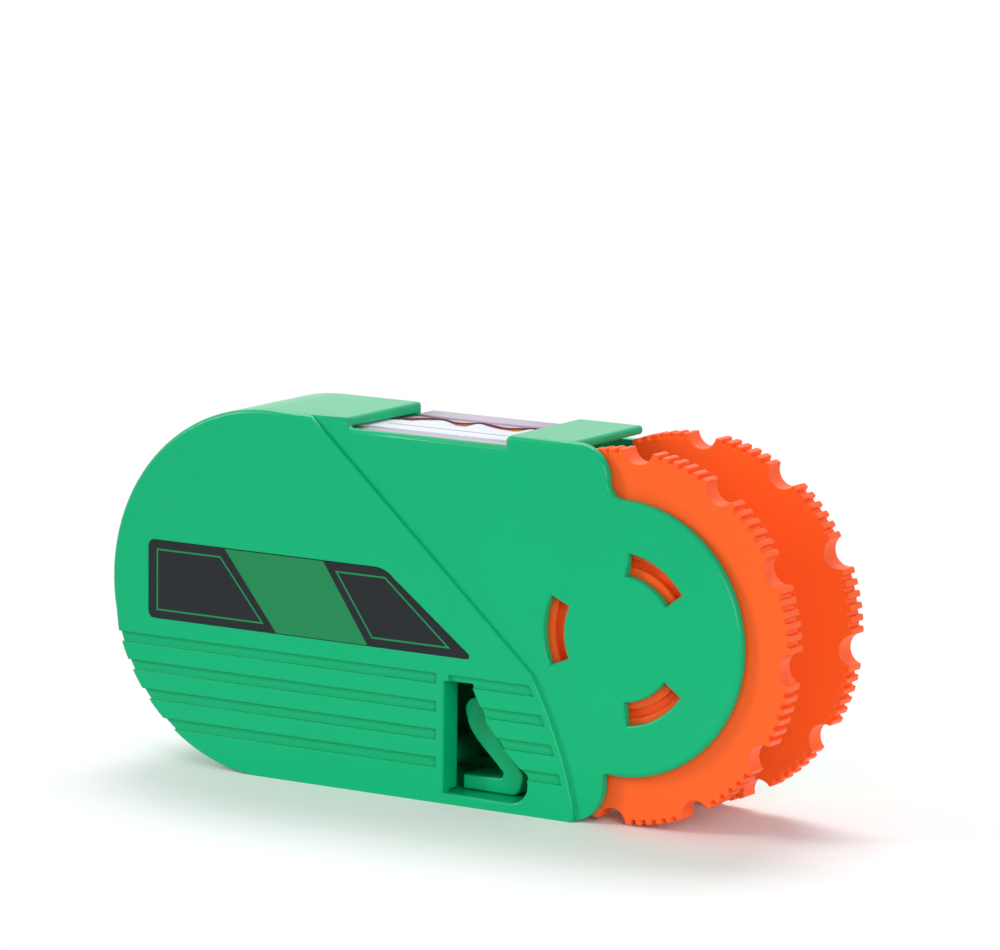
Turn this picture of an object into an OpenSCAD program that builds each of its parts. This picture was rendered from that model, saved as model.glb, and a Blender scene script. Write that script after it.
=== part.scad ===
// Hand-held cleaning cassette for fibre optic connectors.
// Two green shells hold a supply roll of cleaning tape, a tape platform in a window on top,
// and a take-up reel whose two orange toothed discs stick out at one end as a thumbwheel.
// X runs along the case towards the thumbwheel, Y from the front cover to the back, Z up.
// Profiles are drawn in X and Z with the centre of the round end as their origin.

/* [Case] */
// Height of the case, and twice the radius of its round end
case_h = 58; // [54:0.5:64]
// Thickness of the closed case
case_t = 27.6; // [27:0.1:31]
// Wall of the rear case
wall_t = 1.6; // [1.2:0.1:2.2]
// Thickness of the front cover at its raised panel
cover_t = 2.2; // [2:0.1:3]
// Height of the raised panel above the rest of the front cover
panel_step = 0.8; // [0.4:0.1:1]
// Depth at which the rear case steps inwards, measured from the front
step_y = 22.6; // [21.5:0.1:24]
// How far the rear case steps inwards
step_in = 1.3; // [0.9:0.1:2]
// Upper corner radius at the square end
top_corner_r = 5.4; // [4:0.1:5.6]
// Lower corner radius at the square end
low_corner_r = 6; // [5:0.1:8]

/* [Top window] */
// Start of the window, from the centre of the round end
window_x0 = 14.6; // [12:0.1:17]
// Length of the window along the tape
window_l = 28.8; // [24:0.1:30]
// Thickness of the two bridges beside the window
bridge_t = 1.4; // [1.2:0.1:1.6]
// Length of the bridge on the thumbwheel side
bridge_l = 11.6; // [9:0.1:12]

/* [Thumbwheel] */
// Distance from the centre of the round end to the thumbwheel axis
wheel_x = 64; // [62:0.1:66]
// How far the teeth stay inside the height of the case
wheel_inset = 0.3; // [0.2:0.1:1]
// Thickness of each disc
disc_t = 3.6; // [3:0.1:4.2]
// Click notches round each disc
notches = 12; // [12:4:16]
// Radius of a click notch
notch_r = 2.5; // [2:0.1:2.8]
// Grip grooves between two notches
grooves = 5; // [3:1:6]
// Depth of a grip groove
groove_d = 0.75; // [0.5:0.05:1]
// Width of a grip groove
groove_w = 0.9; // [0.6:0.05:1]
// Radius of the bearing bosses that carry the discs
boss_r = 9.4; // [8.5:0.1:9.6]
// Radius of the hollow fillet between the case and its lobe over the thumbwheel
lobe_fillet_r = 2.4; // [1.6:0.1:3.5]

/* [Tape] */
// Width of the cleaning tape
tape_w = 7.2; // [6:0.1:9]
// Thickness of the cleaning tape
tape_t = 0.25; // [0.15:0.05:0.3]
// Radius of the roll of clean tape
supply_r = 21; // [17:0.5:23]
// Wound thickness of the roll of used tape
used_t = 1.6; // [1:0.1:3]
// Radius of the two guide rollers
roller_r = 2; // [1.7:0.1:2.1]

/* [Hidden] */
$fn = 96;

green = [0, 0.69, 0.45];
orange = [1, 0.37, 0.14];
white = [0.93, 0.94, 0.95];
grey = [0.74, 0.71, 0.78];
steel = [0.75, 0.76, 0.78];
black = [0.12, 0.14, 0.15];

// Clearances and the overrun that every cut has beyond the solid it cuts
over = 1;
side_gap = 0.35;
run_gap = 0.08;
seat_gap = 0.3;
fit_gap = 0.05;

// Case
r_end = case_h / 2;
wheel_r = r_end - wheel_inset;
x_mid = (wheel_x + wheel_r - r_end) / 2;
back_in = case_t - cover_t;
lobe_r = r_end - top_corner_r - lobe_fillet_r;
case_reach = wheel_x - lobe_fillet_r;
open_x = case_reach - low_corner_r - 6;
corner_facets = 6;
join = 1;

// Top window
window_x1 = window_x0 + window_l;
bridge_x1 = window_x1 + bridge_l;
rim_z = r_end - 1.6;
rear_rim_z = r_end - 3;
window_corner_r = 0.8;

// Raised panel of the front cover: its border runs straight down from the top and then bends
crease_top_x = 8.5;
crease_bend = [wheel_x - 15, -7];
crease_foot_x = wheel_x - 6.8;
crease_bulge = 1.1;

// Grip grooves moulded in the panel
rib_w = 1.6;
rib_d = 0.6;
rib_pitch = 4.37;
rib_first_z = -9.6;
rib_count = 4;
rib_end_gap = 1.2;

// Inspection opening over the click pawl
pawl_open_x = wheel_x - wheel_r - 2;
pawl_open_floor = wall_t - r_end;
pawl_open_top = pawl_open_floor + 17.5;
pawl_open_top_w = 4.9;
pawl_open_low_x = pawl_open_x + 15.3;
pawl_open_low_z = pawl_open_floor + 3.8;
pawl_open_corner_r = 3;
pocket_d = 4.3;
pocket_wall = 1.2;

// Label, laid in a shallow recess
label_x0 = -21.9;
label_z0 = -5.9;
label_h = 12.4;
label_top_x1 = 23.6;
label_low_x1 = 38.2;
label_t = 0.4;
label_gap = 0.1;
label_corner_r = 1;

// Arc-shaped openings in the lobe
slot_in_r = 9.75;
slot_out_r = 13.25;
slot_span = 48;
slot_count = 3;
slot_first = 60;

// Thumbwheel
disc_y0 = cover_t + side_gap;
disc_y1 = case_t - disc_y0;
notch_phase = -3.7;
notch_out = 0.35;
notch_steps = 10;
hub_wall = 1.4;
hub_bore = boss_r + run_gap;
hub_r = hub_bore + hub_wall;
hub_lap = 2.5;
hub_mid_y = case_t / 2;
face_recess_r = 12.3;
face_recess_d = 1.1;
boss_wall = 1.6;
boss_l = 5.2;
notch_half = asin(notch_r * sqrt(1 - pow((pow(notch_r, 2) + pow(wheel_r + notch_out, 2)
    - pow(wheel_r, 2)) / (2 * notch_r * (wheel_r + notch_out)), 2)) / wheel_r);
sector = 360 / notches;
land = (sector - 2 * notch_half - grooves * groove_w / wheel_r * 180 / PI) / (grooves + 1);
groove_a = groove_w / wheel_r * 180 / PI;

// Take-up core and the two rolls
core_r = hub_r + 1.12;
takeup_r = core_r + used_t;
core_gap = 0.4;
tape_y0 = cover_t + 4.8;
tape_y1 = tape_y0 + tape_w;
spool_y0 = cover_t + 3.6;
spool_y1 = back_in - 3.6;
spool_r = 8;
spool_bore = 4.4;
flange_t = 0.8;
supply_flange_r = supply_r + 1.5;
takeup_flange_r = takeup_r + 1;
axle_r = spool_bore - run_gap;
axle_bore = 2.4;
retainer_head_r = 6;
retainer_head_t = 1;
retainer_plug_l = 5.2;
brake_r = 7;
brake_t = 0.5;
brake_gap = 0.15;

// Tape path
pad_top = rim_z - 0.45;
pad_t = 1.4;
pad_y0 = cover_t + 0.2;
pad_y1 = step_y - wall_t - seat_gap;
roller_z = pad_top - roller_r - fit_gap;
roller_left_x = window_x0 - 4.1;
roller_right_x = window_x1 + 1.6;
roller_bore = 1.05;
roller_y0 = cover_t + 1.5;
roller_y1 = step_y - wall_t - seat_gap;
ledge_x0 = window_x0 - 6;
ledge_z0 = roller_z - roller_r - 0.5;
pin_r = roller_bore - run_gap;
pin_socket = 1.2;
bridge_plate_t = 1.2;
bridge_x_gap = 0.5;

// Click pawl: a leaf folded in a V, with a round nose that drops in a notch
pawl_t = 1.9;
foot_t = 2.6;
pawl_y0 = cover_t + 2.1;
pawl_y1 = step_y - wall_t - seat_gap;
foot_pad_y0 = pawl_y0 + 8;
foot_pad_l = 4;
nose_r = 1.7;
nose_gap = 0.15;
nose_a = 208.4;
nose_reach = wheel_r + nose_gap + nose_r;
nose = [wheel_x + nose_reach * cos(nose_a), nose_reach * sin(nose_a)];
knee = [pawl_open_low_x - 4.5, pawl_open_floor + 2.3];
elbow = [knee[0] - 5.2, knee[1] + 7.3];
flex = 10;
knee_r = 1.4;
knee_gap = 0.15;
foot_x0 = pawl_open_x + pocket_wall;

// Corner posts that close the case
post_r = 2.2;
post_hole_r = 1.2;
post_pin_r = post_hole_r - fit_gap;
post_pin_l = 6;
posts = [[-r_end * 0.62, r_end * 0.62], [-r_end * 0.62, -r_end * 0.62],
         [crease_top_x + 16, -r_end + wall_t + post_r + 0.5]];

// Points along an arc of radius r round c, from angle a0 to a1
function arc(c, r, a0, a1, n, first = 0) =
    [for (i = [first : n]) [c[0] + r * cos(a0 + (a1 - a0) * i / n), c[1] + r * sin(a0 + (a1 - a0) * i / n)]];

// Extrudes an X-Z profile from y0 to y1
module slab(y0, y1) {
    translate([0, y1, 0]) rotate([90, 0, 0]) linear_extrude(y1 - y0) children();
}

// A round bar along Y
module bar(x, z, r, y0, y1) {
    translate([x, y1, z]) rotate([90, 0, 0]) cylinder(h = y1 - y0, r = r);
}

// A tube along Y
module tube(x, z, r_out, r_in, y0, y1) {
    difference() {
        bar(x, z, r_out, y0, y1);
        bar(x, z, r_in, y0 - over, y1 + over);
    }
}

// Moves a profile-based solid into the part's own frame
module place() {
    translate([-x_mid, -case_t / 2, r_end]) children();
}

// Outline of the closed case, drawn smaller by d, without the lobe
module body_outline(d) {
    circle(r = r_end - d);
    translate([0, d - r_end]) square([case_reach - low_corner_r, r_end - d]);
    square([case_reach - top_corner_r, r_end - d]);
    translate([0, low_corner_r - r_end]) square([case_reach - d, case_h - low_corner_r - top_corner_r]);
    translate([case_reach - low_corner_r, low_corner_r - r_end]) circle(r = low_corner_r - d);
    translate([case_reach - top_corner_r, r_end - top_corner_r]) circle(r = top_corner_r - d);
}

// The round lobe over the thumbwheel, and the hollow fillet that runs it into the case on top.
// The fillet's two ends are carried a little way into the solids that it joins
module lobe_outline(d) {
    top_z = r_end - top_corner_r;
    translate([wheel_x, 0]) circle(r = lobe_r - d);
    polygon(concat(
        [[open_x, 0], [wheel_x + join, 0], [wheel_x + join, lobe_r - d - join / 4]],
        arc([wheel_x, top_z], lobe_fillet_r + d, 255, 195, corner_facets),
        [[case_reach - d - join / 4, top_z + join], [open_x, top_z + join]]));
}

// A plate of the case's outline from y0 to y1, smaller by d, with or without the lobe
module plate(d, y0, y1, lobe) {
    slab(y0, y1) union() {
        body_outline(d);
        if (lobe) lobe_outline(d);
    }
}

// Keeps what lies between x0 and x1
module between(x0, x1) {
    intersection() {
        children();
        slab(-over, case_t + over) translate([x0, -r_end - over * 2]) square([x1 - x0, case_h + over * 4]);
    }
}

// Turns a solid that is rounded in front so that it is rounded at depth y, behind
module from_behind(y) {
    translate([0, y, 0]) mirror([0, 1, 0]) children();
}

// The strip above z between the two bridges
module window_strip(z) {
    polygon(concat(
        [[window_x0, r_end + over], [window_x0, z + window_corner_r]],
        arc([window_x0 + window_corner_r, z + window_corner_r], window_corner_r, 180, 270, 4),
        [[window_x1, z], [window_x1, r_end - window_corner_r]],
        arc([window_x1 + window_corner_r, r_end - window_corner_r], window_corner_r, 180, 90, 4),
        [[window_x1 + window_corner_r, r_end + over]]));
}

// Everything to the left of the border of the raised panel, moved by d towards the panel
module panel_side(d) {
    polygon(concat(
        [[-r_end - over, -r_end - over], [-r_end - over, r_end + over], [crease_top_x - d, r_end + over]],
        [[crease_top_x - d, r_end]],
        [for (i = [0 : 10]) let (t = i / 10)
            [crease_bend[0] + (crease_foot_x - crease_bend[0]) * t + crease_bulge * 4 * t * (1 - t) - d,
             crease_bend[1] + (-r_end - crease_bend[1]) * t]],
        [[crease_foot_x - d, -r_end - over]]));
}

// Opening over the pawl, drawn larger by d
module pawl_opening(d) {
    polygon(concat(
        [[pawl_open_x - d, pawl_open_floor - d], [pawl_open_x - d, pawl_open_top + d],
         [pawl_open_x + pawl_open_top_w + d, pawl_open_top + d]],
        [[pawl_open_low_x - 7.5 + d, pawl_open_low_z + 8.1 + d], [pawl_open_low_x - 3.9 + d, pawl_open_low_z + 3.8 + d]],
        arc([pawl_open_low_x - pawl_open_corner_r, pawl_open_low_z - 0.8], pawl_open_corner_r + d, 30, -90, 8)));
}

// The label's outline, drawn larger by d
module label_outline(d) {
    polygon(concat(
        arc([label_x0 + label_corner_r, label_z0 + label_corner_r], label_corner_r + d, 180, 270, 4),
        arc([label_low_x1 - label_corner_r * 0.7, label_z0 + label_corner_r * 0.4], label_corner_r * 0.4 + d, 270, 400, 4),
        arc([label_top_x1 - label_corner_r * 3, label_z0 + label_h - label_corner_r * 5],
            label_corner_r * 5 + d, 45, 90, 6),
        arc([label_x0 + label_corner_r, label_z0 + label_h - label_corner_r], label_corner_r + d, 90, 180, 4)));
}

// One rib groove of the panel, run out past the round end, and its short twin past the opening
module rib_grooves() {
    for (i = [0 : rib_count - 1]) {
        z = rib_first_z - rib_pitch * i;
        translate([-r_end - over, z - rib_w / 2])
            square([pawl_open_x - rib_end_gap + r_end + over, rib_w]);
        translate([pawl_open_x + over, z - rib_w / 2])
            square([case_reach - pawl_open_x, rib_w]);
    }
}

module front_cover() {
    color(green) place() difference() {
        union() {
            difference() {
                union() {
                    difference() {
                        plate(0, panel_step, cover_t, true);
                        slab(-over, cover_t + over) panel_side(0);
                    }
                    intersection() {
                        plate(0, 0, cover_t, true);
                        slab(-over, cover_t + over) panel_side(0);
                    }
                }
                slab(-over, cover_t + over) window_strip(rim_z);
                slab(-over, cover_t + over) pawl_opening(0);
                slab(-over, rib_d) intersection() {
                    rib_grooves();
                    panel_side(rib_end_gap);
                }
            }
            // A wall runs back from the opening and hides the works behind the panel
            slab(cover_t - over / 2, pocket_d) difference() {
                intersection() {
                    pawl_opening(pocket_wall);
                    translate([pawl_open_x - pocket_wall, -r_end + wall_t + seat_gap])
                        square([pocket_wall * 2, case_h / 2]);
                }
                pawl_opening(0);
            }
            // Bearing boss for the front disc, sockets for the roller pins, pins that close the case
            bar(wheel_x, 0, boss_r, cover_t - over / 2, cover_t + boss_l);
            for (x = [roller_left_x, roller_right_x])
                bar(x, roller_z, roller_r, cover_t - over / 2, cover_t + pin_socket);
            for (p = posts)
                bar(p[0], p[1], post_pin_r, cover_t - over / 2, cover_t + post_pin_l);
            bar(0, 0, retainer_head_r, cover_t - over / 2, spool_y0 - brake_gap - retainer_head_t - seat_gap);
        }
        slab(-over, label_t) label_outline(label_gap);
        bar(wheel_x, 0, boss_r - boss_wall, cover_t, cover_t + boss_l + over);
        for (i = [0 : slot_count - 1])
            slab(-over, cover_t + over) arc_slot(slot_first + i * 360 / slot_count);
        for (x = [roller_left_x, roller_right_x])
            bar(x, roller_z, pin_r + fit_gap, cover_t, cover_t + pin_socket + over);
    }
}

// An arc-shaped slot in the lobe, centred on angle a
module arc_slot(a) {
    polygon(concat(
        arc([wheel_x, 0], slot_out_r, a - slot_span / 2, a + slot_span / 2, 12),
        arc([wheel_x, 0], slot_in_r, a + slot_span / 2, a - slot_span / 2, 12)));
}

module rear_case() {
    color(green) place() difference() {
        union() {
            difference() {
                // Side wall at its full outline, then stepped in. Beyond the works it is open for the
                // thumbwheel, between a thin bridge on top and the back with its lobe
                union() {
                    between(-r_end - over, open_x) union() {
                        from_behind(step_y) plate(0, 0, step_y - cover_t, false);
                        from_behind(case_t) plate(step_in, 0, case_t - step_y, false);
                    }
                    between(open_x, bridge_x1) difference() {
                        from_behind(step_y) plate(0, 0, step_y - cover_t, false);
                        slab(0, case_t) translate([0, -r_end - over]) square([case_reach * 2, case_h - bridge_t + over]);
                    }
                    between(open_x, case_reach * 2) from_behind(case_t) plate(step_in, 0, cover_t, true);
                }
                slab(cover_t - over, step_y - wall_t) cavity(wall_t);
                slab(step_y - wall_t - over, back_in) cavity(step_in + wall_t);
                slab(cover_t - over, case_t + over) window_cut();
            }
            bar(wheel_x, 0, boss_r, back_in - boss_l, back_in + over / 2);
            bar(0, 0, axle_r, spool_y0, back_in + over / 2);
            bar(0, 0, brake_r, spool_y1 + brake_t + brake_gap * 2, back_in + over / 2);
            // Ledge behind the platform, which holds the roller pins and the platform bridge
            slab(step_y, back_in + over / 2) translate([ledge_x0, ledge_z0])
                square([roller_right_x - ledge_x0, rear_rim_z - ledge_z0]);
            bar(roller_right_x, roller_z, roller_r, step_y, back_in + over / 2);
            // Web that carries the bridge on the thumbwheel side
            slab(step_y - wall_t, step_y + over / 2) translate([window_x1, roller_z])
                square([roller_right_x + roller_r - window_x1, r_end - bridge_t / 2 - roller_z]);
            for (p = posts)
                bar(p[0], p[1], post_r, cover_t + seat_gap, back_in + over / 2);
        }
        slab(step_y, case_t + over) translate([ledge_x0, rear_rim_z]) square([case_reach, r_end]);
        bar(wheel_x, 0, boss_r - boss_wall, back_in - boss_l - over, back_in);
        bar(0, 0, axle_bore, spool_y0 - over, back_in);
        for (x = [roller_left_x, roller_right_x])
            bar(x, roller_z, pin_r + fit_gap, step_y - wall_t - over, step_y + pin_socket);
        for (p = posts)
            bar(p[0], p[1], post_hole_r, cover_t - over, cover_t + seat_gap + post_pin_l + over);
    }
}

// Hollow of the rear case, d inside its outline and open at the wheel end
module cavity(d) {
    circle(r = r_end - d);
    translate([0, d - r_end]) square([open_x + over, case_h - d * 2]);
}

// The window through the rear case, square-cornered and deeper than the front rim
module window_cut() {
    translate([window_x0, rear_rim_z]) square([window_l, r_end]);
}

module label_plate() {
    color(black) place() slab(0.02, label_t - 0.02) label_outline(0);
}

// Profile of a toothed disc, about its own centre
module disc_profile() {
    polygon([for (k = [0 : notches - 1]) let (a0 = notch_phase + k * sector)
        each concat(
            [for (i = [0 : notch_steps]) let (
                c = wheel_r + notch_out,
                half = acos((pow(notch_r, 2) + pow(c, 2) - pow(wheel_r, 2)) / (2 * notch_r * c)),
                b = 180 + a0 + half - 2 * half * i / notch_steps)
                [c * cos(a0) + notch_r * cos(b), c * sin(a0) + notch_r * sin(b)]],
            [for (g = [0 : grooves - 1]) let (b0 = a0 + notch_half + land * (g + 1) + groove_a * g)
                each [for (q = [[0, 0], [0.12, 1], [0.88, 1], [1, 0]])
                    [(wheel_r - groove_d * q[1]) * cos(b0 + groove_a * q[0]),
                     (wheel_r - groove_d * q[1]) * sin(b0 + groove_a * q[0])]]])]);
}

// One disc of the thumbwheel between y0 and y1
module disc(y0, y1) {
    translate([wheel_x, 0, 0]) slab(y0, y1) disc_profile();
}

module thumbwheel_front() {
    color(orange) place() difference() {
        union() {
            disc(disc_y0, disc_y0 + disc_t);
            bar(wheel_x, 0, hub_r, disc_y0, hub_mid_y - hub_lap / 2);
            bar(wheel_x, 0, hub_r - hub_wall / 2 - fit_gap, disc_y0, hub_mid_y + hub_lap / 2 - fit_gap);
        }
        bar(wheel_x, 0, hub_bore, disc_y0 - over, hub_mid_y + hub_lap);
        tube(wheel_x, 0, face_recess_r, hub_r, disc_y0 - over, disc_y0 + face_recess_d);
    }
}

module thumbwheel_rear() {
    color(orange) place() difference() {
        union() {
            disc(disc_y1 - disc_t, disc_y1);
            bar(wheel_x, 0, hub_r, hub_mid_y - hub_lap / 2 + fit_gap, disc_y1);
        }
        bar(wheel_x, 0, hub_bore, hub_mid_y, disc_y1 + over);
        bar(wheel_x, 0, hub_r - hub_wall / 2, hub_mid_y - hub_lap, hub_mid_y + hub_lap / 2);
        tube(wheel_x, 0, face_recess_r, hub_r, disc_y1 - face_recess_d, disc_y1 + over);
    }
}

module takeup_core() {
    color(white) place() difference() {
        union() {
            bar(wheel_x, 0, core_r, disc_y0 + disc_t + core_gap, disc_y1 - disc_t - core_gap);
            for (y = [tape_y0 - flange_t, tape_y1]) bar(wheel_x, 0, takeup_flange_r, y, y + flange_t);
        }
        bar(wheel_x, 0, hub_r + fit_gap, disc_y0, disc_y1);
    }
}

module takeup_tape() {
    color(white) place() tube(wheel_x, 0, takeup_r, core_r, tape_y0, tape_y1);
}

// Spool with its rear flange; the front flange is pressed on after winding
module supply_spool() {
    color(white) place() difference() {
        union() {
            bar(0, 0, spool_r, spool_y0, spool_y1);
            bar(0, 0, supply_flange_r, tape_y1, tape_y1 + flange_t);
        }
        bar(0, 0, spool_bore, spool_y0 - over, spool_y1 + over);
    }
}

module supply_flange() {
    color(white) place() tube(0, 0, supply_flange_r, spool_r + fit_gap, tape_y0 - flange_t, tape_y0);
}

module supply_tape() {
    color(white) place() tube(0, 0, supply_r, spool_r, tape_y0, tape_y1);
}

// Angle at which the tape leaves the supply roll for the left roller, and the one at the take-up roll
left_d = sqrt(pow(roller_left_x, 2) + pow(roller_z, 2));
leave_a = atan2(roller_z, roller_left_x) + acos((supply_r + seat_gap / 2 - roller_r - fit_gap) / left_d);
right_d = sqrt(pow(wheel_x - roller_right_x, 2) + pow(roller_z, 2));
arrive_a = atan2(-roller_z, wheel_x - roller_right_x) + 90
    - asin((takeup_r + roller_r + seat_gap) / right_d);

// The tape's free run: off the supply roll, over both rollers and down to the take-up roll
module cleaning_tape() {
    in_r = roller_r + fit_gap;
    out_r = in_r + tape_t;
    off = supply_r + seat_gap / 2;
    lower = concat(
        [[off * cos(leave_a), off * sin(leave_a)]],
        arc([roller_left_x, roller_z], in_r, leave_a, 90, 4),
        arc([roller_right_x, roller_z], in_r, 90, arrive_a, 10),
        [[wheel_x - (takeup_r + seat_gap / 2 + tape_t) * cos(arrive_a),
          -(takeup_r + seat_gap / 2 + tape_t) * sin(arrive_a)]]);
    upper = concat(
        [[wheel_x - (takeup_r + seat_gap / 2) * cos(arrive_a),
          -(takeup_r + seat_gap / 2) * sin(arrive_a)]],
        arc([roller_right_x, roller_z], out_r, arrive_a, 90, 10),
        arc([roller_left_x, roller_z], out_r, 90, leave_a, 4),
        [[(off + tape_t) * cos(leave_a), (off + tape_t) * sin(leave_a)]]);
    color(white) place() slab(tape_y0, tape_y1) polygon(concat(lower, upper));
}

// Rigid bridge that carries the pad across the case
module platform_bridge() {
    x0 = roller_left_x + roller_r + bridge_x_gap;
    x1 = roller_right_x - roller_r - bridge_x_gap;
    z1 = pad_top - pad_t;
    color(green) place() union() {
        slab(pad_y0, step_y) translate([x0, z1 - bridge_plate_t]) square([x1 - x0, bridge_plate_t]);
        for (x = [x0, x1 - bridge_plate_t])
            slab(pad_y0 + over, step_y) translate([x, z1 - bridge_plate_t * 2]) square([bridge_plate_t, bridge_plate_t * 2]);
    }
}

module platform_pad() {
    x0 = roller_left_x + roller_r + bridge_x_gap;
    x1 = roller_right_x - roller_r - bridge_x_gap;
    color(grey) place() slab(pad_y0, pad_y1) translate([x0, pad_top - pad_t]) square([x1 - x0, pad_t]);
}

module guide_roller(x) {
    color(white) place() tube(x, roller_z, roller_r, roller_bore, roller_y0, roller_y1);
}

module guide_roller_left() guide_roller(roller_left_x);
module guide_roller_right() guide_roller(roller_right_x);

module guide_pin(x) {
    color(steel) place() bar(x, roller_z, pin_r, cover_t, step_y + pin_socket);
}

module guide_pin_left() guide_pin(roller_left_x);
module guide_pin_right() guide_pin(roller_right_x);

// Straight root of the pawl, hollowed round the knee and clear of the leaf when it bends back,
// with a pad behind that stands on the case's floor
module pawl_foot() {
    color(green) place() union() {
        slab(pawl_y0, pawl_y1) difference() {
            translate([foot_x0, knee[1] - foot_t / 2]) square([knee[0] - foot_x0, foot_t]);
            translate(knee) circle(r = knee_r + knee_gap);
            for (a = [0 : flex / 4 : flex])
                translate(knee) rotate(a + atan2(elbow[1] - knee[1], elbow[0] - knee[0]))
                    translate([0, -pawl_t / 2 - knee_gap]) square([norm(elbow - knee), pawl_t + knee_gap * 2]);
        }
        slab(foot_pad_y0, pawl_y1) translate([foot_x0, wall_t - r_end])
            square([foot_pad_l, knee[1] - wall_t + r_end]);
    }
}

// Leaf from a round knee over a bent elbow to the nose, which lies in a notch of both discs
module pawl_arm() {
    color(green) place() slab(pawl_y0, pawl_y1) union() {
        translate(knee) circle(r = knee_r);
        leaf(knee, elbow);
        translate(elbow) circle(r = pawl_t / 2);
        leaf(elbow, nose);
        translate(nose) circle(r = nose_r);
    }
}

// Straight stretch of the leaf from a to b
module leaf(a, b) {
    translate(a) rotate(atan2(b[1] - a[1], b[0] - a[0])) translate([0, -pawl_t / 2]) square([norm(b - a), pawl_t]);
}

// Wave washer that brakes the supply spool
module brake_spring() {
    color(steel) place() tube(0, 0, brake_r, axle_r + seat_gap, spool_y1 + brake_gap, spool_y1 + brake_gap + brake_t);
}

// Headed plug pressed in the axle, which keeps the spool on it
module spool_retainer() {
    y = spool_y0 - brake_gap;
    color(white) place() union() {
        bar(0, 0, retainer_head_r, y - retainer_head_t, y);
        bar(0, 0, axle_bore - fit_gap, y - over / 2, y + retainer_plug_l);
    }
}

front_cover();
rear_case();
label_plate();
thumbwheel_front();
thumbwheel_rear();
takeup_core();
takeup_tape();
supply_spool();
supply_flange();
supply_tape();
cleaning_tape();
platform_bridge();
platform_pad();
guide_roller_left();
guide_roller_right();
guide_pin_left();
guide_pin_right();
pawl_foot();
pawl_arm();
brake_spring();
spool_retainer();
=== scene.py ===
"""Looks of the fibre optic cleaning cassette: plastics, tape, printed label, light and camera."""

import math

import bmesh
import bpy
import numpy as np
from mathutils import Matrix, Vector


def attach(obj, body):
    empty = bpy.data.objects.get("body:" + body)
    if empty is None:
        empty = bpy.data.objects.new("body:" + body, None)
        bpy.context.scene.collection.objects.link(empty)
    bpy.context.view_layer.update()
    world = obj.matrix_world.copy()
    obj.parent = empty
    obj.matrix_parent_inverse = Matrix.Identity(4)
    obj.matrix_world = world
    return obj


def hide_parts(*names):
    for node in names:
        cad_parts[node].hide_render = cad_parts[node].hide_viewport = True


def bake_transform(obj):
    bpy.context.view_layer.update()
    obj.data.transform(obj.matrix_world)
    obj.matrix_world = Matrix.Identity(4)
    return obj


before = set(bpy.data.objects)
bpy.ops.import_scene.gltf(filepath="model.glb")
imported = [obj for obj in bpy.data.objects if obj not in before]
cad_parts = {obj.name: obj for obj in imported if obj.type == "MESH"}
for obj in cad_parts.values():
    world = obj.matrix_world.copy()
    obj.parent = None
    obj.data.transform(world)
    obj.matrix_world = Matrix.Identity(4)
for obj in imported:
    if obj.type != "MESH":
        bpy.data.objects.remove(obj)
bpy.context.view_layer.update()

# Case: two green shells, injection-moulded in ABS with a satin polish, pressed together on three
# posts. Their outer edges, the front panel's steps and the two tongues over the window are
# rounded, as moulded.
MID_X, MID_Y, FLOOR_Z = 31.85, 13.8, 29.0  # the frame's origin, in mm from the round end's centre
WHEEL_X = 64.0
WINDOW_X0, WINDOW_X1, TONGUE_X1, TONGUE_LOW_Z = 14.6, 43.4, 55.0, 27.2
STEP_Y, CASE_T = 22.6, 27.6
DRIFT_MM, POLISH_DRIFT = 50 / 3, 0.15


def linear(hex_colour):
    """Linear RGBA of an sRGB hex colour."""
    s = np.array([int(hex_colour[i:i + 2], 16) / 255 for i in (1, 3, 5)])
    v = np.where(s <= 0.04045, s / 12.92, ((s + 0.055) / 1.055) ** 2.4)
    return (*v.tolist(), 1.0)


def node(tree, kind, links=(), values=(), **settings):
    """Adds one node, sets its properties and input values, and links its inputs."""
    n = tree.nodes.new(kind)
    for k, v in settings.items():
        setattr(n, k, v)
    for k, v in dict(values).items():
        n.inputs[k].default_value = v
    for k, v in dict(links).items():
        tree.links.new(v, n.inputs[k])
    return n


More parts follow.
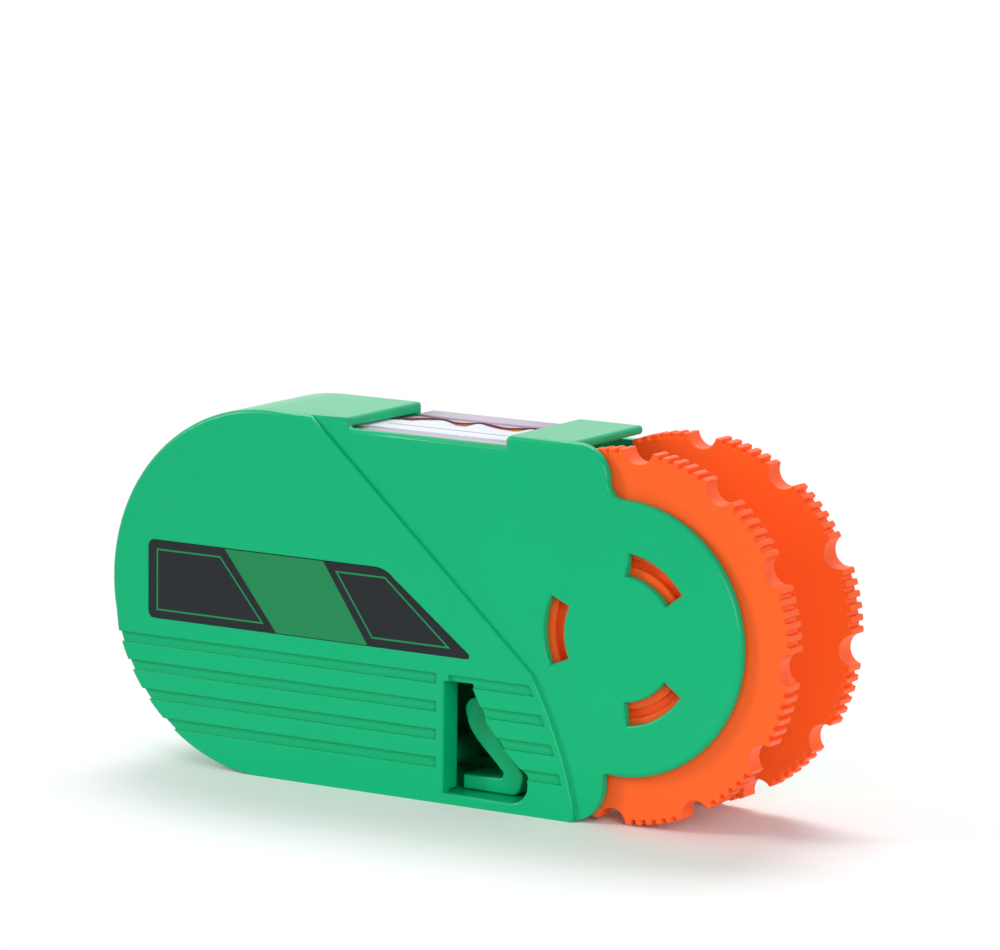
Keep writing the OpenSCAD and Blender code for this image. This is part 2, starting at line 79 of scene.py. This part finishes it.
def material(name, colour, rough, shine=0.5, vary=0.03, grain=0.05, grain_mm=1.1, edge_mm=0.0,
             metallic=0.0, sheen=0.0):
    """A surface whose shade and roughness drift slowly over DRIFT_MM, with a grain of grain_mm as
    bump, which is coarser than a moulded skin's so that it shows in the render. Edges that the
    mesh leaves sharp shade as if rounded to edge_mm."""
    m = bpy.data.materials.new(name)
    m.use_nodes = True
    t = m.node_tree
    shader = t.nodes["Principled BSDF"]
    shader.inputs["Metallic"].default_value = metallic
    shader.inputs["Specular IOR Level"].default_value = shine
    shader.inputs["Sheen Weight"].default_value = sheen
    where = node(t, "ShaderNodeTexCoord").outputs["Object"]
    slow = node(t, "ShaderNodeTexNoise", {"Vector": where},
                {"Scale": 1000 / DRIFT_MM, "Detail": 3.0}).outputs["Fac"]
    light = node(t, "ShaderNodeMapRange", {"Value": slow}, {"To Min": 1 - vary, "To Max": 1 + vary})
    shade = node(t, "ShaderNodeHueSaturation", {"Value": light.outputs["Result"]},
                 {"Color": linear(colour)})
    t.links.new(shade.outputs["Color"], shader.inputs["Base Color"])
    polish = node(t, "ShaderNodeMapRange", {"Value": slow},
                  {"To Min": rough * (1 - POLISH_DRIFT), "To Max": rough * (1 + POLISH_DRIFT)})
    t.links.new(polish.outputs["Result"], shader.inputs["Roughness"])
    fine = node(t, "ShaderNodeTexNoise", {"Vector": where},
                {"Scale": 1000 / grain_mm, "Detail": 4.0})
    bump = node(t, "ShaderNodeBump", {"Height": fine.outputs["Fac"]},
                {"Strength": grain, "Distance": 0.0001})
    if edge_mm:
        soft = node(t, "ShaderNodeBevel", values={"Radius": edge_mm / 1000}, samples=6)
        t.links.new(soft.outputs["Normal"], bump.inputs["Normal"])
    t.links.new(bump.outputs["Normal"], shader.inputs["Normal"])
    return m


def paint(material_, *names):
    """Gives CAD nodes this material."""
    for name in names:
        data = bpy.data.objects[name].data
        data.materials.clear()
        data.materials.append(material_)


FLAT_DEG, SMOOTH_DEG, CORNER_DEG = 0.3, 35, 40
NEAR_MM, LEVEL_MM = 0.05, 0.01


def rounded_copy(name, source, body, radius_of, widest, steps=3):
    """A copy of a CAD node with rounded edges, standing for the node. Its loose triangles are
    merged and flat stretches joined, then each convex edge is rounded by a Bevel modifier to
    radius_of(its ends in profile millimetres, how deep its side wall runs back)."""
    bm = bmesh.new()
    bm.from_mesh(bpy.data.objects[source].data)
    bmesh.ops.remove_doubles(bm, verts=bm.verts, dist=1e-6)
    bmesh.ops.dissolve_limit(bm, angle_limit=math.radians(FLAT_DEG), verts=bm.verts, edges=bm.edges)
    weight = bm.edges.layers.float.new("bevel_weight_edge")
    for e in bm.edges:
        bend = e.calc_face_angle_signed(0.0)
        e.smooth = abs(bend) < math.radians(SMOOTH_DEG)
        if bend > math.radians(CORNER_DEG):
            ends = np.array([v.co for v in e.verts]) * 1000 + (MID_X, MID_Y, -FLOOR_Z)
            reach = [1000 * max(abs(v.co.y - e.verts[0].co.y) for v in f.verts)
                     for f in e.link_faces]
            depth = min([r for r in reach if r > NEAR_MM], default=0)
            e[weight] = radius_of(ends, depth) / widest
    for f in bm.faces:
        f.smooth = True
    me = bpy.data.meshes.new(name)
    bm.to_mesh(me)
    bm.free()
    ob = bpy.data.objects.new(name, me)
    bpy.context.scene.collection.objects.link(ob)
    soft = ob.modifiers.new("rounded_edges", "BEVEL")
    soft.width, soft.segments, soft.limit_method = widest / 1000, steps, "WEIGHT"
    soft.use_clamp_overlap, soft.harden_normals = False, True
    me.materials.append(bpy.data.objects[source].data.materials[0])
    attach(ob, body)
    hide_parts(source)


# Where the front cover's edges lie: on its outer side, within the arc openings' circle or in the
# pawl opening, whose walls run right through, or on the step round the raised panel.
COVER_FACE_Y, THROUGH_MM, STEP_MM = 1.0, 1.0, 0.7
ARCS_R, PAWL_BOX_X, PAWL_BOX_Z = 15, (32, 50), (-28.2, -9)
GROOVES_TOP_Z, GROOVES_END_X = -8.5, 62.0
OUTLINE_ROUND, OPENING_ROUND, PANEL_ROUND, TONGUE_ROUND = 0.7, 0.4, 0.45, 0.55


def cover_radius(ends, depth):
    """Rounding of the front cover by the depth of the wall behind the edge."""
    if abs(ends[0, 1] - ends[1, 1]) > LEVEL_MM or ends[0, 1] > COVER_FACE_Y:
        return 0
    if depth <= THROUGH_MM:
        return PANEL_ROUND if depth > STEP_MM else 0
    x, z = ends[:, 0].mean(), ends[:, 2].mean()
    in_arcs = math.hypot(x - WHEEL_X, z) < ARCS_R
    in_pawl_box = PAWL_BOX_X[0] < x < PAWL_BOX_X[1] and PAWL_BOX_Z[0] < z < PAWL_BOX_Z[1]
    if in_arcs or in_pawl_box:
        return OPENING_ROUND
    # The outline stays sharp below the label, where the grooves run out through it
    return 0 if z < GROOVES_TOP_Z and x < GROOVES_END_X else OUTLINE_ROUND


def rear_radius(ends, depth):
    """Rounding of the rear case: the tongues' ends, the step round the back and the back's rim."""
    x, y, z = ends[:, 0], ends[:, 1], ends[:, 2]
    for end_x in (WINDOW_X0, WINDOW_X1, TONGUE_X1):
        across = abs(x - end_x).max() < NEAR_MM and abs(z[0] - z[1]) < NEAR_MM
        if across and z.min() > TONGUE_LOW_Z:
            return TONGUE_ROUND
    on_rim = min(abs(y[0] - STEP_Y), abs(y[0] - CASE_T)) < NEAR_MM
    return OUTLINE_ROUND if on_rim and abs(y[0] - y[1]) < LEVEL_MM else 0


# Moulded ABS, satin: an even clear green with broad soft highlights and no mirror images
case_green = material("satin_green_moulded_abs", "#00B074", 0.24, shine=0.2, edge_mm=0.3)
paint(case_green, "front_cover", "rear_case", "platform_bridge", "pawl_foot", "pawl_arm")
rounded_copy("front_shell", "front_cover", "case", cover_radius, OUTLINE_ROUND)
rounded_copy("rear_shell", "rear_case", "case", rear_radius, OUTLINE_ROUND)

# Supply reel, its plug, the take-up core and the rollers, moulded in uncoloured plastic, which
# looks off-white, dull and slightly uneven. The rollers run on two pressed-in pins of drawn
# steel, and a steel washer brakes the spool.
natural = material("uncoloured_moulded_plastic", "#D9D8D4", 0.45)
paint(natural, "takeup_core", "supply_spool", "supply_flange", "guide_roller_left",
      "guide_roller_right", "spool_retainer")
# Drawn steel: bare bright grey metal with softly spread highlights
steel = material("drawn_stainless_steel", "#B9BABD", 0.3, metallic=1.0)
paint(steel, "guide_pin_left", "guide_pin_right", "brake_spring")

# Platform under the tape: a soft lavender-grey elastomer pad glued on its bridge, with a strip of
# the same sheet laid on the ledge behind it, up to the back of the case.
LEDGE_Z, SHEET_TOP, SHEET_Y0, SHEET_Y1 = 26.0, 27.25, 20.75, 25.7
SHEET_GAP, SHEET_ROUND = 0.1, 0.15


def place(x, y, z):
    """A point in profile millimetres, whose origin is the centre of the round end, in metres."""
    return ((x - MID_X) / 1000, (y - MID_Y) / 1000, (z + FLOOR_Z) / 1000)


def mesh_piece(name, verts, faces, material_, body):
    """A mesh object from points in metres and faces, riding on a body."""
    me = bpy.data.meshes.new(name)
    me.from_pydata(verts, [], faces)
    me.update()
    me.materials.append(material_)
    ob = bpy.data.objects.new(name, me)
    bpy.context.scene.collection.objects.link(ob)
    if body:
        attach(ob, body)
    return ob


def bar_piece(name, outline, y0, y1, round_mm, material_, body):
    """A closed outline in X and Z carried along Y, with both ends rounded over: at each angle of
    a quarter turn the outline is drawn in by the radius times one minus the cosine, and set back
    from the end by the radius times one minus the sine."""
    p = np.array(outline)
    run = np.roll(p, -1, axis=0) - np.roll(p, 1, axis=0)
    inward = np.stack([-run[:, 1], run[:, 0]], 1) / np.linalg.norm(run, axis=1)[:, None]
    turn = np.radians([90, 60, 30, 0])
    inset, setback = round_mm * (1 - np.cos(turn)), round_mm * (1 - np.sin(turn))
    rings = [(s, y0 + b) for s, b in zip(inset, setback)]
    rings += [(s, y1 - b) for s, b in zip(inset[::-1], setback[::-1])]
    xz = np.concatenate([p + inward * s for s, _ in rings])
    y = np.repeat([y for _, y in rings], len(p))
    n, m = len(p), len(rings)
    verts = np.stack(place(xz[:, 0], y, xz[:, 1]), 1)
    j, i = np.meshgrid(np.arange(m - 1), np.arange(n), indexing="ij")
    k, k_next = (j * n + i).ravel(), (j * n + (i + 1) % n).ravel()
    faces = np.stack([k, k_next, k_next + n, k + n], 1).tolist()
    faces += [list(range(n))[::-1], list(range((m - 1) * n, m * n))]
    ob = mesh_piece(name, verts.tolist(), faces, material_, body)
    bm = bmesh.new()
    bm.from_mesh(ob.data)
    bmesh.ops.recalc_face_normals(bm, faces=bm.faces)
    for f in bm.faces:
        f.smooth = len(f.verts) == 4
    bm.to_mesh(ob.data)
    bm.free()
    return ob


# Cast elastomer: matt lavender grey, with a fine skin that breaks up the light
pad = material("lavender_grey_elastomer_pad", "#B5AAB8", 0.5, shine=0.3, grain=0.1)
paint(pad, "platform_pad")
sheet_x0, sheet_x1 = WINDOW_X0 + SHEET_GAP, WINDOW_X1 - SHEET_GAP
sheet = [(sheet_x0, LEDGE_Z), (sheet_x1, LEDGE_Z), (sheet_x1, SHEET_TOP), (sheet_x0, SHEET_TOP)]
bar_piece("pad_rear_strip", sheet, SHEET_Y0, SHEET_Y1, SHEET_ROUND, pad, "case")

# Thumbwheel: two toothed discs in orange moulded plastic, pressed together on one hub. The
# lands between its notches and grip grooves are worn round by the thumb.
RIM_LEAST_R, DISC_ROUND = 25, 0.18
# Moulded plastic, satin: a strong warm orange, a little duller than the case
wheel_orange = material("satin_orange_moulded_plastic", "#FF6426", 0.35, shine=0.16, edge_mm=0.15)
paint(wheel_orange, "thumbwheel_front", "thumbwheel_rear")


def disc_radius(ends, depth):
    """Rounding of a disc where the edge belongs to its rim."""
    on_rim = np.hypot(ends[:, 0] - WHEEL_X, ends[:, 2]).min() > RIM_LEAST_R
    return DISC_ROUND if on_rim else 0


for end in ("front", "rear"):
    rounded_copy(f"toothed_disc_{end}", f"thumbwheel_{end}", "wheel", disc_radius, DISC_ROUND,
                 steps=2)

# Tape: dry white lint-free microfibre, knitted, wound edge to edge on both reels and led over the
# pad between the two rollers.
YARN_MM = 0.38  # coarser than the real yarn, so that it shows in the render
# Knitted microfibre: white, matt and faintly furry, with the grain of its yarn
cloth = material("white_microfibre_tape", "#D8DEE4", 0.85, shine=0.2, vary=0.04, grain=0.5,
                 grain_mm=YARN_MM, sheen=0.2)
paint(cloth, "takeup_tape", "supply_tape", "cleaning_tape")

# Tape's rear selvedge: the cloth is not held flat along its rear edge, so it lifts in soft waves
# over the pad. A dark red line along the edge is painted shadow of the lifted cloth, and amber
# strips in the dips are painted reflection under it.
TAPE_TOP, TAPE_X0, TAPE_X1 = 27.26, 16.0, 43.2
LIFT_Y0, LIFT_WIDTH, LIFT_CURVE, LEAST_LIFT = 10.5, 3.7, 1.6, 0.02
LONG_WAVE, SHORT_WAVE = 8.6, 5.3
HELD_MM, SLACK_MM = 2.5, 1.5
PAINTED_REFLECTION_Y = 14.3
PAINTED_SHADOW_LINE = ((14.25, -0.05), (14.3, 0.22), (14.9, 0.16))


def strip(name, rows, material_):
    """A sheet through rows of points in millimetres, each row one array of (x, y, z)."""
    n, m = len(rows), len(rows[0])
    i, j = np.meshgrid(np.arange(n - 1), np.arange(m - 1), indexing="ij")
    k = (i * m + j).ravel()
    points = np.concatenate(rows)
    verts = np.stack(place(points[:, 0], points[:, 1], points[:, 2]), 1)
    faces = np.stack([k, k + 1, k + m + 1, k + m], 1)
    ob = mesh_piece(name, verts.tolist(), faces.tolist(), material_, "case")
    ob.data.shade_smooth()


def row(x, y, z):
    """One row of a strip: its points along X, all at one Y."""
    return np.stack([x, np.full_like(x, y), z], 1)


def wave(x, height, length, start):
    """A sine of this height and length in millimetres that rises through zero at start."""
    return height * np.sin(2 * np.pi * (x - start) / length)


# Painted light under the tape's lifted edge, matt and with the same grain as the cloth: a dark red
# painted shadow and an amber painted reflection
edge_shadow_paint = material("painted_shadow_under_tape_edge", "#6B2038", 0.8, grain=0.4, grain_mm=YARN_MM)
edge_reflection_paint = material("painted_reflection_under_tape_edge", "#D0803C", 0.8, grain=0.4, grain_mm=YARN_MM)
tape_x = np.linspace(TAPE_X0, TAPE_X1, 160)
# Heights of the cloth's rear edge and of the red painted-shadow line over the tape's top: a mean
# height plus a long wave, and for the cloth a short one as well. The line never lies under the
# cloth
lift = (0.32 + wave(tape_x, height=0.3, length=LONG_WAVE, start=20.5)
        + wave(tape_x, height=0.12, length=SHORT_WAVE, start=18))
calm = 0.45 + wave(tape_x, height=0.16, length=LONG_WAVE, start=20.0)
# The tongues hold the cloth down at both ends, so both heights fade out there
free = np.clip(np.minimum(tape_x - TAPE_X0, TAPE_X1 - tape_x + SLACK_MM) / HELD_MM, 0, 1)
lift, calm = np.maximum(lift * free, LEAST_LIFT), np.maximum(calm * free, LEAST_LIFT)
calm = np.maximum(calm, lift)
strip("tape_ripple", [row(tape_x, LIFT_Y0 + LIFT_WIDTH * u, TAPE_TOP + lift * u ** LIFT_CURVE)
                      for u in np.linspace(0, 1, 9)], cloth)
# Amber painted reflection under the lifted edge, filling the gap between the cloth's edge and the
# painted shadow line
strip("tape_painted_reflection", [row(tape_x, PAINTED_REFLECTION_Y, TAPE_TOP + lift + (calm - lift) * u)
                             for u in (0, 1)], edge_reflection_paint)
# The dark red painted shadow that the lifted edge casts, as a line along it
strip("tape_painted_shadow_line", [row(tape_x, y, TAPE_TOP + calm + up) for y, up in PAINTED_SHADOW_LINE], edge_shadow_paint)

# Click pawl: one leaf moulded in the case's green plastic, folded in a V. Its foot lies on the
# floor of the case, the knee bends, and the leaf's round nose drops in the notches.
FLOOR_TOP, FOOT_TOP, FOOT_X0 = -27.25, -24.9, 34.6
HEEL_X, HEEL_R = 43.3, 1.6
KNEE_OUT, KNEE_OUT_R = (43.6, -24.4), 1.7
KNEE_IN_X, KNEE_IN_R = 40.9, 0.75
NOSE, NOSE_R = (36.75, -14.75), 2.05
LEAF_BACK = [(38.75, -15.2), (39.7, -17.2), (41.2, -19.3), (43.1, -21.4), (44.9, -23.4)]
LEAF_FRONT = [(34.95, -15.8), (35.4, -17.3), (36.6, -19.0), (38.4, -20.8), (40.2, -22.45),
              (41.3, -23.6)]
PAWL_Y0, PAWL_Y1, PAWL_ROUND = 4.3, 20.7, 0.25


def smooth(points, per=6):
    """A curve through points. Each stretch is a cubic from one point to the next, whose slope at
    each of them is half the step between the two points beside it."""
    p = np.array(points)
    q = np.concatenate([[2 * p[0] - p[1]], p, [2 * p[-1] - p[-2]]])
    t = np.linspace(0, 1, per, endpoint=False)[:, None]
    stretches = [0.5 * (2 * b + (c - a) * t + (2 * a - 5 * b + 4 * c - d) * t ** 2
                        + (3 * b - a - 3 * c + d) * t ** 3)
                 for a, b, c, d in zip(q, q[1:], q[2:], q[3:])]
    return np.concatenate([*stretches, p[-1:]])


def turn_round(centre, radius, start_deg, end_deg, count):
    """Points on an arc between two angles, each at the centre plus the radius times the cosine
    and the sine of its angle."""
    a = np.radians(np.linspace(start_deg, end_deg, count))
    return np.stack([centre[0] + radius * np.cos(a), centre[1] + radius * np.sin(a)], 1)


# Round the foot's heel, the outside of the knee, up the back, over the nose, down the front and
# round the inside of the knee
leaf = np.concatenate([
    [(FOOT_X0, FLOOR_TOP)], turn_round((HEEL_X, FLOOR_TOP + HEEL_R), HEEL_R, -90, -10, 6),
    turn_round(KNEE_OUT, KNEE_OUT_R, -5, 30, 4), smooth(LEAF_BACK)[::-1],
    turn_round(NOSE, NOSE_R, 0, 200, 14), smooth(LEAF_FRONT),
    turn_round((KNEE_IN_X, FOOT_TOP + KNEE_IN_R), KNEE_IN_R, 30, -90, 6), [(FOOT_X0, FOOT_TOP)]])
pawl_leaf = bar_piece("pawl_leaf", leaf, PAWL_Y0, PAWL_Y1, PAWL_ROUND, case_green, None)
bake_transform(pawl_leaf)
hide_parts("pawl_foot", "pawl_arm")

# Label: black satin polyester film laid in its shallow recess on the front cover. Its print is a
# slanted green band and a thin green frame line inside each black end, as ink on the film.
INK_Y, LINE_W = 0.008, 0.28
BAND = [(-7.4, 6.45), (11.1, 6.45), (19.4, -5.85), (2.4, -5.85)]
LEFT_FRAME = [(-20.4, 5.2), (-20.4, -4.7), (0.1, -4.7), (-8.2, 5.2)]
RIGHT_FRAME = [(13.3, 5.2), (20.2, -4.7), (34.6, -4.7), (22.6, 5.2)]
# Polyester film: near black with a dim even shine
label_black = material("black_satin_label_film", "#1B1F23", 0.4, shine=0.2, vary=0.04, grain=0.04)
paint(label_black, "label_plate")
# Screen ink: a flat mid green with the shine of the film under it
ink_green = material("green_ink_on_label_film", "#1A844E", 0.4, shine=0.2, vary=0.04, grain=0.04)


def inset_frame(points, width):
    """The points of a closed outline and the same outline drawn width inside it: each corner
    moves by the sum of its two sides' normals over one plus their dot product."""
    p = np.array(points)
    d = np.roll(p, -1, axis=0) - p
    n = np.stack([-d[:, 1], d[:, 0]], 1) / np.linalg.norm(d, axis=1)[:, None]
    m = np.roll(n, 1, axis=0)
    inner = p + width * (n + m) / (1 + (n * m).sum(1))[:, None]
    return p.tolist(), inner.tolist()


ink_points, ink_faces = [*BAND], [(0, 3, 2, 1)]
for outline in (LEFT_FRAME, RIGHT_FRAME):
    outer, inner = inset_frame(outline, LINE_W)
    base, count = len(ink_points), len(outer)
    ink_points += [*outer, *inner]
    for i in range(count):
        i_next = (i + 1) % count
        ink_faces.append((base + i, base + i_next, base + count + i_next, base + count + i))
mesh_piece("label_ink", [place(x, INK_Y, z) for x, z in ink_points], ink_faces, ink_green,
           "case")

# Camera: where the photograph was taken from, as angles round a point in the case, a distance in
# millimetres and a focal length in pixels. The picture's middle is not where the fitted axis
# meets it, so the camera is turned to suit.
scene = bpy.context.scene
AZIMUTH, ELEVATION, ROLL, DISTANCE, FOCAL_PX = 32.01, 10.60, 0.71, 905.04, 5861.74
WIDTH_PX, HEIGHT_PX, AXIS_PX = 1000, 950, (494.75, 607.30)
LOOK_AT, SENSOR_MM = (35, 12, 0), 36
azimuth, elevation, roll = (math.radians(angle) for angle in (AZIMUTH, ELEVATION, ROLL))
back = Vector((math.sin(azimuth) * math.cos(elevation), -math.cos(azimuth) * math.cos(elevation),
               math.sin(elevation)))
ahead = -back
right = ahead.cross(Vector((0, 0, 1))).normalized()
up = right.cross(ahead)
right, up = (right * math.cos(roll) + up * math.sin(roll),
             up * math.cos(roll) - right * math.sin(roll))
shift_x, shift_y = (WIDTH_PX / 2 - AXIS_PX[0]) / FOCAL_PX, (HEIGHT_PX / 2 - AXIS_PX[1]) / FOCAL_PX
aim = (ahead + right * shift_x - up * shift_y).normalized()
camera_x = aim.cross(up).normalized()
camera_y = camera_x.cross(aim)
camera_data = bpy.data.cameras.new("camera")
camera_data.sensor_width = SENSOR_MM
camera_data.lens = FOCAL_PX * SENSOR_MM / WIDTH_PX
camera_data.clip_start, camera_data.clip_end = 0.05, 20
camera = bpy.data.objects.new("camera", camera_data)
scene.collection.objects.link(camera)
camera.rotation_mode = "QUATERNION"
camera.rotation_quaternion = Matrix((camera_x, camera_y, -aim)).transposed().to_quaternion()
camera.location = Vector(place(*LOOK_AT)) + back * (DISTANCE / 1000)
scene.camera = camera

# Floor: a sheet of white paper that fades into the white round it, so only the shadow near the
# object shows. Distances are in metres from the point that the fade is measured from.
FADE_CENTRE, FADE_FROM, FADE_TO = (0.03, 0, 0), 0.06, 0.14
floor_mesh = bpy.data.meshes.new("floor")
floor_mesh.from_pydata([(-1, -1, 0), (1, -1, 0), (1, 1, 0), (-1, 1, 0)], [], [(0, 1, 2, 3)])
floor = bpy.data.objects.new("floor", floor_mesh)
scene.collection.objects.link(floor)
# Plain paper: matt and almost white, so it takes a soft clear shadow
floor_white = bpy.data.materials.new("white_paper_floor")
floor_white.use_nodes = True
floor_tree = floor_white.node_tree
paper = floor_tree.nodes["Principled BSDF"]
paper.inputs["Base Color"].default_value = linear("#F8F8F8")
paper.inputs["Roughness"].default_value = 0.9
floor_point = node(floor_tree, "ShaderNodeTexCoord").outputs["Object"]
far = node(floor_tree, "ShaderNodeVectorMath", {0: floor_point}, {1: FADE_CENTRE},
           operation="DISTANCE")
fade = node(floor_tree, "ShaderNodeMapRange", {"Value": far.outputs["Value"]},
            {"From Min": FADE_FROM, "From Max": FADE_TO}, interpolation_type="SMOOTHSTEP")
clear = node(floor_tree, "ShaderNodeBsdfTransparent")
join = node(floor_tree, "ShaderNodeMixShader",
            {0: fade.outputs["Result"], 1: paper.outputs[0], 2: clear.outputs[0]})
floor_tree.links.new(join.outputs[0], floor_tree.nodes["Material Output"].inputs["Surface"])
floor_mesh.materials.append(floor_white)

# Lamps: three soft boxes, one above and one on each side of the camera, all aimed at the middle
# of the object. Places and sizes are in metres, powers in watts.
AIM_POINT = (0, 0, 0.03)


def lamp(name, where, size, power):
    """A soft area lamp aimed at the object."""
    data = bpy.data.lights.new(name, "AREA")
    data.shape = "RECTANGLE"
    data.size, data.size_y = size
    data.energy = power
    ob = bpy.data.objects.new(name, data)
    scene.collection.objects.link(ob)
    ob.location = where
    ob.rotation_mode = "QUATERNION"
    ob.rotation_quaternion = (Vector(AIM_POINT) - Vector(where)).to_track_quat("-Z", "Y")


lamp("top_softbox", (-0.15, 0.35, 0.65), (0.5, 0.35), 3.5)
lamp("left_softbox", (-0.6, -0.45, 0.35), (0.16, 0.4), 2.8)
lamp("right_fill", (0.6, -0.5, 0.25), (0.3, 0.4), 2.8)

# Room: pure white where the camera looks past the object or sees it mirrored, and a dimmer soft
# white as the light that falls on the object from all sides.
ROOM_LIGHT = 0.5
world = bpy.data.worlds.new("white_room")
scene.world = world
world.use_nodes = True
world_tree = world.node_tree
ray = node(world_tree, "ShaderNodeLightPath")
direct = node(world_tree, "ShaderNodeMath",
              {0: ray.outputs["Is Camera Ray"], 1: ray.outputs["Is Transmission Ray"]},
              operation="MAXIMUM")
seen = node(world_tree, "ShaderNodeMath", {0: direct.outputs[0], 1: ray.outputs["Is Glossy Ray"]},
            operation="MAXIMUM")
white = node(world_tree, "ShaderNodeBackground", values={"Color": (1, 1, 1, 1), "Strength": 1.0})
dim = world_tree.nodes["Background"]
dim.inputs["Color"].default_value = linear("#F4F6F8")
dim.inputs["Strength"].default_value = ROOM_LIGHT
mix = node(world_tree, "ShaderNodeMixShader",
           {0: seen.outputs[0], 1: dim.outputs[0], 2: white.outputs[0]})
world_tree.links.new(mix.outputs[0], world_tree.nodes["World Output"].inputs["Surface"])
scene.view_settings.view_transform = "Standard"
